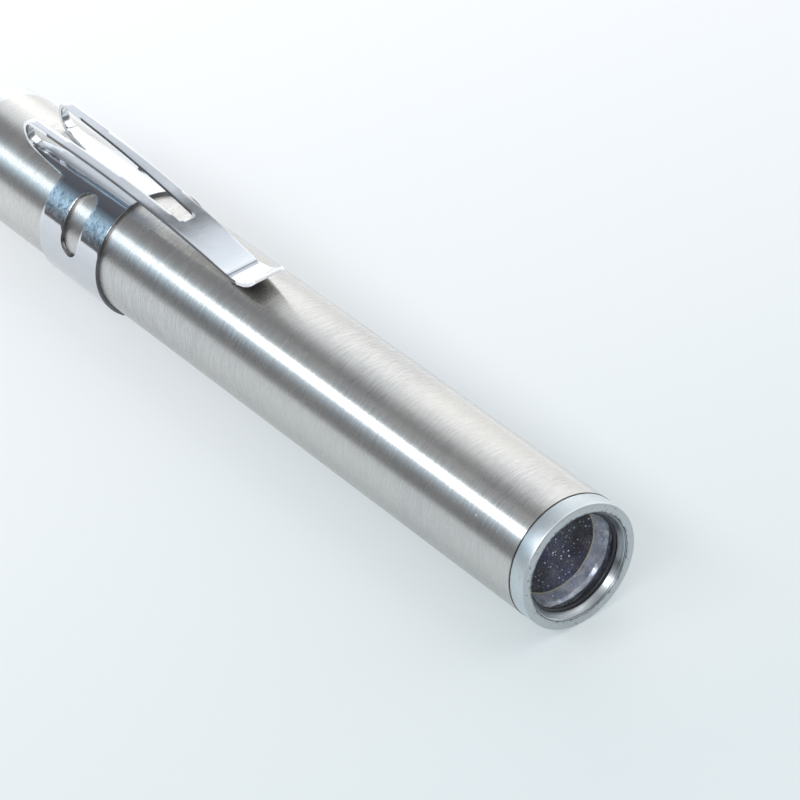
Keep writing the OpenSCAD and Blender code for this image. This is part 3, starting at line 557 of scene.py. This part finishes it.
def coil(name, nodes, slot, turns, r_a, r_b, wire, s_a, s_b, body=None):
    """A coil spring of round wire from station s_a and radius r_a to s_b and r_b, whose end turns close up."""
    closed, sides, rings = 0.75, 12, 40
    count = turns * rings
    free = turns - 2 * closed
    closed_pitch = 1.08 * wire
    free_pitch = (s_b - s_a - wire - 2 * closed * closed_pitch) / free
    places = []

    def middle(i):
        t = i / count
        n = t * turns
        if n < closed:
            s = n * closed_pitch
        elif n < turns - closed:
            s = closed * closed_pitch + (n - closed) * free_pitch
        else:
            s = closed * closed_pitch + free * free_pitch + (n - turns + closed) * closed_pitch
        r = r_a + (r_b - r_a) * t
        a = TAU * n
        return np.array((s_a + wire / 2 + s, r * math.cos(a), r * math.sin(a)))

    for i in range(count + 1):
        c = middle(i)
        along = middle(min(count, i + 1)) - middle(max(0, i - 1))
        along /= np.linalg.norm(along)
        out = np.array((0, c[1], c[2]))
        out /= np.linalg.norm(out)
        side = np.cross(along, out)
        side /= np.linalg.norm(side)
        up = np.cross(side, along)
        for j in range(sides):
            a = TAU * j / sides
            places.append(c + (up * math.cos(a) + side * math.sin(a)) * wire / 2)
    faces = [
        (i * sides + j, i * sides + (j + 1) % sides, (i + 1) * sides + (j + 1) % sides, (i + 1) * sides + j)
        for i in range(count) for j in range(sides)
    ]
    faces.append(tuple(range(sides))[::-1])
    faces.append(tuple(count * sides + j for j in range(sides)))
    return piece(name, places, faces, [slot], nodes, body=body)


# Barrel and head
lathe("tube", "barrel", ["barrel_tube"], "barrel_steel", [
    (6.15, 2.1), (6.75, 2.1), (6.75, 97.2), (6.15, 97.2),
    (6.15, 77.5), (5.45, 77.5), (5.45, 24.04), (6.15, 24.04),
], fillet=0.09, segments=256)

BAND, FACE, BORE = 0, 1, 2
lathe("bezel_ring", "barrel", ["bezel"], "blasted_aluminium", [
    (5.68, 0.0, FACE), (6.7, 0.0, BAND), (6.7, 2.1, BORE), (6.13, 2.1, BORE), (6.13, 8.1, BORE),
    (5.55, 8.1, BORE), (5.55, 0.9, BORE), (5.24, 0.9, BORE), (5.61, 0.2, BORE), (5.68, 0.17, BORE),
], ["blasted_aluminium", "face_aluminium", "bore_aluminium"], fillet=0.16, segments=256)

lathe("lens_glass", "barrel", ["lens"], "lens_glass", [
    (0, 1.48), (5.53, 1.48), (5.53, 2.68), (0, 2.68),
], fillet=0.12)

MOUTH_R, HOLE_R, BOWL_FRONT, BOWL_BACK = 5.08, 1.7, 2.7, 9.9
bowl_shape = (BOWL_BACK - BOWL_FRONT) / (MOUTH_R ** 2 - HOLE_R ** 2)
bowl = [
    (r, BOWL_BACK - bowl_shape * (r ** 2 - HOLE_R ** 2))
    for r in (HOLE_R + (MOUTH_R - HOLE_R) * i / 48 for i in range(48))
]
lathe("reflector_bowl", "barrel", ["reflector"], "reflector_mirror", bowl + [
    (5.08, 3.1), (5.38, 2.7), (5.53, 2.7), (5.53, 3.7), (5.3, 3.7), (5.3, 6.9), (3.6, 9.9),
], fillet=0.04)

# Springs
coil("contact_coil", ["front_contact"], "gilt_spring", 3, 2.4, 1.2, 0.5, 22.12, 26.42, "barrel")
tail_coil = coil("tail_coil", ["tail_spring"], "spring_steel", 5, 2.6, 3.2, 0.7, 70.92, 79.52)
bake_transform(tail_coil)
switch_coil = coil("switch_coil", ["switch_spring"], "spring_steel", 5, 2.1, 2.1, 0.35, 81.34, 87.32)
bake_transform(switch_coil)

# Button
lathe("push_button", "button", ["button"], "button_steel", [
    (0, 91.16), (1.6, 91.16), (1.6, 96.18), (4.65, 96.18), (4.65, 96.62), (3.88, 96.62), (3.88, 97.46),
    (4.65, 97.46), (4.65, 97.88), (4.2, 97.88), (4.2, 100.75), (3.7, 101.15), (2.1, 101.34), (0, 101.4),
], fillet=0.1)


# ---------------------------------------------------------------- pocket clip

# Radii of the band, the loops and the lip are of the sheet's middle, but BAND_OUT_R is of the band's outside
SHEET = 0.4
BAND_R, BAND_OUT_R, BAND_HALF_ANGLE = 6.97, 7.17, math.radians(145)
BAND_FRONT, BAND_REAR = 70.5, 81.0
LOOP_R, LOOP_Z, LOOP_S, LOOP_HALF_W = 1.452, 8.198, 87.148, 2.7
LIMB_HALF_ANGLE = math.radians(26)
ARM_TOP = 9.85
CREASE_S, CREASE_Z, CREASE_HALF_W = 52.9, 7.25, 3.7 / 2
LIP_R, LIP_LEN = 7.0, 4.7
FLAT_Z = LOOP_Z - LOOP_R
# Windows of the band: their middle along the sheet and round the tube, their end radius and their half angle
WINDOW_U, WINDOW_MIDDLE, WINDOW_R, WINDOW_HALF_ANGLE = 5.1, math.radians(54), 1.5, math.radians(30)
# Front end of the slot in the arm
SLOT_END_S, SLOT_END_R = 63.05, 0.85
# Ahead of this station the underside is painted: white as painted light under the arm, and dark as painted
# shade under the lip
PAINTED_UNDERSIDE_S = 68.5
# Points on the middle line are set just off it, so that the mirrored half doesn't repeat them
OFF_MIDDLE = 0.001
# Steps of the mesh inside the sheet and along its edges, and the room that it leaves at an edge
GRID, EDGE_STEP, EDGE_ROOM = 0.34, 0.3, 0.16


def arm_mid(s):
    """Height of the sheet's middle at station s of the arm."""
    k = max(0.0, (BAND_REAR - s) / (BAND_REAR - CREASE_S))
    return ARM_TOP - (ARM_TOP - CREASE_Z) * k * k - SHEET / 2


def clip_spine():
    """Points of the sheet's middle from the band's front, round the loop and along the arm to the lip's tip."""
    points = [(s, FLAT_Z) for s in np.linspace(BAND_FRONT, LOOP_S, 60)]
    points += [
        (LOOP_S + LOOP_R * math.sin(a), LOOP_Z - LOOP_R * math.cos(a)) for a in np.linspace(0, math.pi, 40)[1:]
    ]
    points += [(s, arm_mid(s)) for s in np.linspace(LOOP_S, CREASE_S, 160)[1:]]
    lip = math.asin(LIP_LEN / LIP_R)
    points += [
        (CREASE_S - LIP_R * math.sin(a), CREASE_Z - SHEET / 2 + LIP_R * (1 - math.cos(a)))
        for a in np.linspace(0, lip, 30)[1:]
    ]
    return np.array(points)


def eased(points, at, reach):
    """The same line with its kink at the point of index at turned into a bend that starts reach before it."""
    run = np.concatenate(([0], np.cumsum(np.linalg.norm(np.diff(points, axis=0), axis=1))))
    u0, u1, u2 = run[at] - reach, run[at], run[at] + reach
    a, b, c = (np.array([np.interp(u, run, points[:, k]) for k in (0, 1)]) for u in (u0, u1, u2))
    t = np.linspace(0, 1, 13)[:, None]
    bend = (1 - t) ** 2 * a + 2 * t * (1 - t) * b + t ** 2 * c
    return np.vstack((points[run < u0 - 1e-6], bend, points[run > u2 + 1e-6]))


spine = clip_spine()
spine = eased(spine, int(np.argmin(np.hypot(spine[:, 0] - CREASE_S, spine[:, 1] - arm_mid(CREASE_S)))), 0.4)
spine_u = np.concatenate(([0], np.cumsum(np.linalg.norm(np.diff(spine, axis=0), axis=1))))
U_REAR = BAND_REAR - BAND_FRONT
U_LOOP = LOOP_S - BAND_FRONT
U_TOP = U_LOOP + math.pi * LOOP_R
U_TIP = spine_u[-1]


def arm_u(s):
    """Length along the sheet at station s of the arm."""
    upper = spine_u >= U_TOP - 1e-9
    return float(np.interp(-s, -spine[upper][:, 0], spine_u[upper]))


def curl(u):
    """1 where the sheet follows the tube, falling to 0 where it is flat across."""
    t = np.clip((np.asarray(u, float) - (U_LOOP - 2.5)) / (2.5 + 0.5 * math.pi * LOOP_R), 0, 1)
    return 1 - t * t * (3 - 2 * t)


def fold(flat):
    """Bends points (u along, v across) of the flat sheet into the clip."""
    u, v = flat[:, 0], flat[:, 1]
    s = np.interp(u, spine_u, spine[:, 0])
    z = np.interp(u, spine_u, spine[:, 1])
    turn = np.clip((u - U_LOOP) / LOOP_R, 0, math.pi)
    c = curl(u)
    y = (1 - c) * v + c * BAND_R * np.sin(v / BAND_R)
    drop = c * (FLAT_Z - BAND_R * np.cos(v / BAND_R))
    return np.column_stack((s + drop * np.sin(turn), y, z - drop * np.cos(turn)))


def across(u, y):
    """Place v on the flat sheet of a point that should end up at y."""
    c = float(curl(u))
    return c * BAND_R * math.asin(max(-1, min(1, y / BAND_R))) + (1 - c) * y


def densify(loop, step):
    """The closed outline with points added so that none are more than step apart."""
    out = []
    for a, b in zip(loop, loop[1:] + loop[:1]):
        a, b = np.array(a, float), np.array(b, float)
        n = max(1, int(math.ceil(np.linalg.norm(b - a) / step)))
        out += [tuple(a + (b - a) * k / n) for k in range(n)]
    return out


def arc_points(cu, cv, r, a0, a1, steps=14):
    """Points of an arc round (cu, cv) between two angles in degrees."""
    angles = np.linspace(math.radians(a0), math.radians(a1), steps)
    return [(cu + r * math.cos(a), cv + r * math.sin(a)) for a in angles]


def mirrored(half):
    """A closed outline from its half at v > 0, which runs from low u to high u."""
    return half + [(u, -v) for u, v in reversed(half)]


def clip_outlines():
    """Outer edge of the flat sheet, and the holes in it: the slot and the band's two windows."""
    end_v = BAND_R * BAND_HALF_ANGLE
    corner = 0.7
    half = [(0, OFF_MIDDLE)] + arc_points(corner, end_v - corner, corner, 180, 90, 6)
    half += arc_points(U_REAR - corner, end_v - corner, corner, 90, 0, 6)
    # The limb narrows from the band to the loop
    root = 0.35
    limb_y = BAND_OUT_R * math.sin(LIMB_HALF_ANGLE)
    limb_v = across(U_REAR, limb_y)
    half += arc_points(U_REAR + root, limb_v + root, root, 180, 270, 5)
    for u in np.linspace(U_REAR + root + 0.4, U_LOOP, 12):
        y = limb_y + (LOOP_HALF_W - limb_y) * (u - U_REAR) / (U_LOOP - U_REAR)
        half.append((float(u), across(u, y)))
    half += [(float(u), across(u, LOOP_HALF_W)) for u in np.linspace(U_LOOP, U_TOP, 14)[1:]]
    tip_half = CREASE_HALF_W + 0.2
    half += [(arm_u(CREASE_S), CREASE_HALF_W), (U_TIP - 0.6, tip_half)]
    half += arc_points(U_TIP - 0.55, tip_half - 0.55, 0.55, 80, 0, 5)
    # The slot widens from its end between the limbs to the loops, then keeps its width between the legs
    end_half, rear_half, rear_s = 0.648, 1.8, LOOP_S + LOOP_R + SHEET / 2
    end_u = U_REAR + 1 + end_half
    slot = [(u, across(u, v)) for u, v in arc_points(end_u, 0, end_half, 180, 90)]
    for u in np.linspace(end_u + 0.3, U_TOP, 36):
        s = BAND_FRONT + min(u, U_LOOP) + LOOP_R * math.sin(max(0, u - U_LOOP) / LOOP_R)
        share = min(1, (s - BAND_FRONT - end_u) / (rear_s - BAND_FRONT - end_u))
        y = end_half + (rear_half - end_half) * share if u < U_LOOP + math.pi / 2 * LOOP_R else rear_half
        slot.append((float(u), across(u, y)))
    slot += arc_points(arm_u(SLOT_END_S), 0, SLOT_END_R, 90, 0)[:-1]
    slot.append((arm_u(SLOT_END_S) + SLOT_END_R, OFF_MIDDLE))
    slot[0] = (slot[0][0], OFF_MIDDLE)
    # The windows are cut straight in from the side, so their shape is wrapped round the band
    reach = BAND_OUT_R * math.sin(WINDOW_HALF_ANGLE) - WINDOW_R
    shape = arc_points(WINDOW_U, reach, WINDOW_R, 0, 180) + arc_points(WINDOW_U, -reach, WINDOW_R, 180, 360)
    shape = densify(shape, 0.2)
    windows = [
        [(u, side * BAND_R * (WINDOW_MIDDLE + math.asin(max(-1, min(1, w / BAND_OUT_R))))) for u, w in shape]
        for side in (1, -1)
    ]
    return mirrored(half), [mirrored(slot)] + windows


def inside(points, loop):
    """Which points are inside a closed loop, by crossings."""
    x, y = points[:, 0], points[:, 1]
    result = np.zeros(len(points), bool)
    for (x1, y1), (x2, y2) in zip(loop, loop[1:] + loop[:1]):
        crosses = (y1 > y) != (y2 > y)
        if y1 != y2:
            result ^= crosses & (x < (x2 - x1) * (y - y1) / (y2 - y1) + x1)
    return result


def edge_distance(points, loop):
    """How far each point is from a closed loop."""
    best = np.full(len(points), 1e9)
    for a, b in zip(loop, loop[1:] + loop[:1]):
        a, b = np.array(a), np.array(b)
        d = b - a
        t = np.clip(((points - a) @ d) / max(1e-12, d @ d), 0, 1)
        best = np.minimum(best, np.linalg.norm(points - a - t[:, None] * d, axis=1))
    return best


def sheet_mesh():
    """Corners (u, v) and faces of the flat sheet."""
    outer, holes = clip_outlines()
    loops = [densify(loop, EDGE_STEP) for loop in [outer] + holes]

    def on_sheet(points):
        result = inside(points, loops[0])
        for hole in loops[1:]:
            result &= ~inside(points, hole)
        return result

    # The rows lie closer together at the crease
    crease_u = arm_u(CREASE_S)
    rows = [u for u in np.arange(0.2, U_TIP, GRID) if abs(u - crease_u) > 0.5]
    rows += list(crease_u + np.linspace(-0.4, 0.4, 7))
    grid = np.array([(u, v) for u in rows for v in np.arange(-17.7, 17.7, GRID)])
    keep = on_sheet(grid)
    for loop in loops:
        keep &= edge_distance(grid, loop) > EDGE_ROOM
    points, edges = [], []
    for loop in loops:
        first = len(points)
        points += loop
        edges += [(first + k, first + (k + 1) % len(loop)) for k in range(len(loop))]
    points += [tuple(p) for p in grid[keep]]
    verts, _, faces, _, _, _ = delaunay_2d_cdt([Vector(p) for p in points], edges, [], 0, 1e-6)
    flat = np.array([tuple(v) for v in verts])
    centres = np.array([flat[list(f)].mean(axis=0) for f in faces])
    faces = [tuple(f) for f, good in zip(faces, on_sheet(centres)) if good]
    used = sorted({i for f in faces for i in f})
    order = {i: k for k, i in enumerate(used)}
    return flat[used], [tuple(order[i] for i in f) for f in faces]


# Finish slots of the clip: the plated face, the cut edges with painted shade and highlights, the underside with
# painted light, and the underside with painted shade
SHINY, EDGE, INSIDE, SHADE = range(4)


def make_clip():
    flat, faces = sheet_mesh()
    obj = piece("pocket_clip", fold(flat), faces, ["clip_steel", "clip_edge", "clip_inside", "clip_shade"],
                ["clip_base", "clip_arm"])
    thick = obj.modifiers.new("sheet", "SOLIDIFY")
    thick.thickness, thick.offset, thick.use_even_offset = SHEET * MM, 0, True
    thick.material_offset_rim = EDGE
    soft = obj.modifiers.new("rim", "BEVEL")
    soft.width, soft.segments, soft.limit_method, soft.angle_limit = 0.075 * MM, 2, "ANGLE", math.radians(55)
    graph = bpy.context.evaluated_depsgraph_get()
    solid = bpy.data.meshes.new_from_object(obj.evaluated_get(graph))
    obj.modifiers.clear()
    obj.data = solid
    # Painted light and shade on the underside: the white finish under the arm, the dark one under the lip
    for polygon in solid.polygons:
        under_arm = polygon.center.x > (FACE_X - PAINTED_UNDERSIDE_S) * MM and polygon.normal.z < -0.3
        if polygon.material_index == SHINY and under_arm:
            polygon.material_index = SHADE if polygon.center.x > (FACE_X - CREASE_S) * MM else INSIDE
    even_shading(obj)
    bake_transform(obj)


make_clip()


# ---------------------------------------------------------------- stage, light and camera

def floor_finish():
    """A plain pale floor that seems to be half lit from within, less so toward its near side."""
    f = Finish("floor")
    p = f.place()
    x, y, _ = f.parts(p)
    cloud = f.noise(p, 3.0, 2.0)
    base = f.fade(cloud, 0.3, 0.7, (0.763, 0.792, 0.817), (0.778, 0.807, 0.832))
    shaded = f.principled({"Base Color": base, "Roughness": 0.28, "Specular IOR Level": 0.35})
    nearness = f.remap(f.sum("SUBTRACT", x, f.sum("MULTIPLY", y, 0.25)), -0.085, 0.072)
    tint = f.mix(nearness, (1.03, 1.035, 1.065), (0.55, 0.645, 0.665))
    glow = f.add("Emission", {0: tint, 1: 1.0}).outputs[0]
    path = f.add("LightPath").outputs
    seen = f.sum("MAXIMUM", path["Is Camera Ray"], path["Is Glossy Ray"])
    seen = f.sum("MULTIPLY", f.sum("MAXIMUM", seen, path["Is Transmission Ray"]), 0.5)
    return f.surface(f.add("MixShader", {0: seen, 1: shaded, 2: glow}).outputs[0])


bpy.ops.mesh.primitive_plane_add(size=12, location=(0, 0, 0))
floor = bpy.context.object
floor.name = "floor"
floor.data.materials.append(floor_finish())

# The room by the angle round the barrel's axis: straight below at -180 degrees, the +Y side at -90, overhead
# at 0, the -Y side at 90. SIDE_ROOM is most of it; END_ROOM is what lies toward the tail. A number is a grey.
# The values are dimmed by ROOM_DIM to fit a ramp's range.
ROOM_DIM = 0.4
SIDE_ROOM = [
    (-180, 0.8), (-104, 1.7), (-90, 2.6), (-60, 1.65), (-46, 1.62), (-36, 2.12), (-26, 2.55), (-16, 1.75),
    (-6, 1.4), (4, 1.2), (14, 0.9), (24, 1.62), (34, 1.4), (46, 1.4), (54, 1.15), (64, 0.95), (74, 0.56),
    (84, 0.07), (96, 0.12), (112, 0.8), (180, 0.8),
]
END_ROOM = [
    (-180, 0.8), (-100, 0.8), (-86, 1.05), (-72, 1.35), (-50, 1.25), (-38, (0.72, 0.75, 0.79)),
    (-16, (0.62, 0.66, 0.7)), (-4, (0.12, 0.125, 0.14)), (24, (0.085, 0.09, 0.105)),
    (36, (0.2, 0.28, 0.34)), (48, (0.38, 0.54, 0.66)), (60, (0.43, 0.61, 0.75)), (72, (0.1, 0.115, 0.14)),
    (90, 0.12), (112, 0.7), (180, 0.8),
]


def build_room():
    world = bpy.data.worlds.new("room")
    bpy.context.scene.world = world
    f = Finish("room", world)
    x, y, z = f.parts(f.add("TexCoord").outputs["Generated"])
    angle = f.sum("ARCTAN2", f.sum("MULTIPLY", y, -1.0), z)
    turn = f.sum("ADD", f.sum("DIVIDE", angle, TAU), 0.5)

    def ring(stops):
        full = [(a, colour if isinstance(colour, tuple) else (colour,) * 3) for a, colour in stops]
        return f.ramp(turn, [((a + 180) / 360, tuple(v * ROOM_DIM for v in colour)) for a, colour in full])

    side, end = ring(SIDE_ROOM), ring(END_ROOM)
    # Brightness of the end room by how far a direction leans to the tail: a dark bar shows on the clip's arm
    back = f.sum("MULTIPLY", x, -1.0)
    lean = f.ramp(back, [
        (0.46, 1.06), (0.49, 0.98), (0.512, 0.9), (0.53, 0.66), (0.542, 0.25), (0.556, 0.21), (0.574, 0.3),
        (0.59, 0.52), (0.602, 0.88), (0.633, 0.73), (0.65, 0.75), (0.69, 0.77), (0.735, 0.79), (0.85, 0.86),
    ])
    beyond = f.remap(back, 0.7353, 0.7367, 1.68, 2.3)
    end = f.vector("SCALE", f.mix(1.0, end, lean, "MULTIPLY"), scale=beyond)
    light = f.fade(back, 0.43, 0.455, side, end)
    # The room beyond the lens is dark
    light = f.mix(f.ramp(x, [(0.45, 0.0), (0.72, 0.9)]), light, (0.036, 0.04, 0.048))
    seen = f.add("LightPath").outputs["Is Camera Ray"]
    colour = f.mix(seen, light, (0.4, 0.4, 0.4))
    shade = f.add("Background", {0: colour, 1: 1.97}).outputs[0]
    out = f.add("OutputWorld")
    f.tree.links.new(shade, out.inputs["Surface"])


build_room()


def lamp(name, at, size, power):
    """A soft rectangular lamp at a point in metres that faces the middle of the light."""
    data = bpy.data.lights.new(name, "AREA")
    data.shape, data.size, data.size_y, data.energy = "RECTANGLE", size[0], size[1], power
    obj = bpy.data.objects.new(name, data)
    bpy.context.scene.collection.objects.link(obj)
    obj.location = at
    back = (Vector(at) - Vector((0, 0, TUBE_R * MM))).normalized()
    up = back.cross(Vector((1, 0, 0))).normalized()
    obj.rotation_euler = Matrix((up.cross(back), up, back)).transposed().to_euler()


STRIP_ANGLE, STRIP_FAR_M = math.radians(44.9), 1.3
strip_at = (0.2, -STRIP_FAR_M * math.sin(STRIP_ANGLE), STRIP_FAR_M * math.cos(STRIP_ANGLE))
lamp("strip", strip_at, (1.95, 0.33), 12.0)

# The camera is fitted to the photo. It stands so many tube radii from the middle of the light's face.
camera_data = bpy.data.cameras.new("camera")
camera_data.sensor_width = 36
camera_data.lens = 206.2
camera_data.clip_start, camera_data.clip_end = 0.01, 20
camera = bpy.data.objects.new("camera", camera_data)
bpy.context.scene.collection.objects.link(camera)
right, up = Vector((0.60264, 0.79289, -0.09029)), Vector((-0.43640, 0.42217, 0.79456))
forward = Vector((-0.66812, 0.43943, -0.60044))
place = Vector((FACE_X, 0, TUBE_R)) * MM + Vector((39.966, -28.932, 40.239)) * TUBE_R * MM
turn = Matrix((right, up, -forward)).transposed().to_4x4()
camera.matrix_world = Matrix.Translation(place) @ turn
bpy.context.scene.camera = camera
bpy.context.scene.view_settings.view_transform = "Standard"
